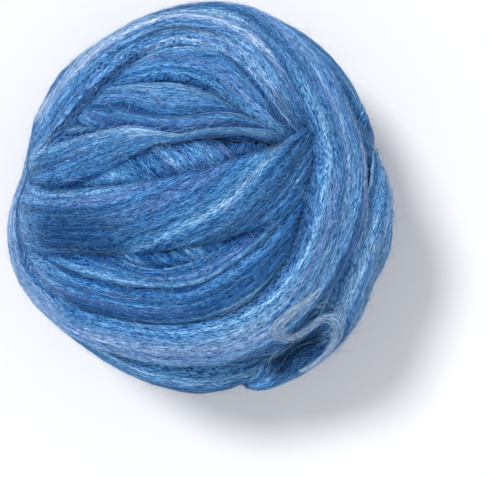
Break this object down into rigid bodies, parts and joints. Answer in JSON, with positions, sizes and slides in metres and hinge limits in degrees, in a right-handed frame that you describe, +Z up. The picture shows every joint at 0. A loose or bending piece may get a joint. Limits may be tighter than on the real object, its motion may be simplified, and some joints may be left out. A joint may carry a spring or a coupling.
{
  "type": "ball of wool roving",
  "caption": "Wound ball of combed wool roving in broad overlapping turns, with its loose end laid round one side and a small flat spot to rest on.",
  "frame": {"origin": "on the floor under the middle of the whole ball, in the plane of its flat spot", "axes": "+Z up from the flat spot; +X towards the side where the loose end starts; +Y to the far side, so that the loose end's cut tip points to -Y"},
  "size_m": [0.185, 0.1902, 0.151],
  "materials": {
    "wool": "matt combed wool, streaked blue"
  },
  "bodies": {
    "root": {"ball": "wool", "tail": "wool"}
  },
  "joints": []
}
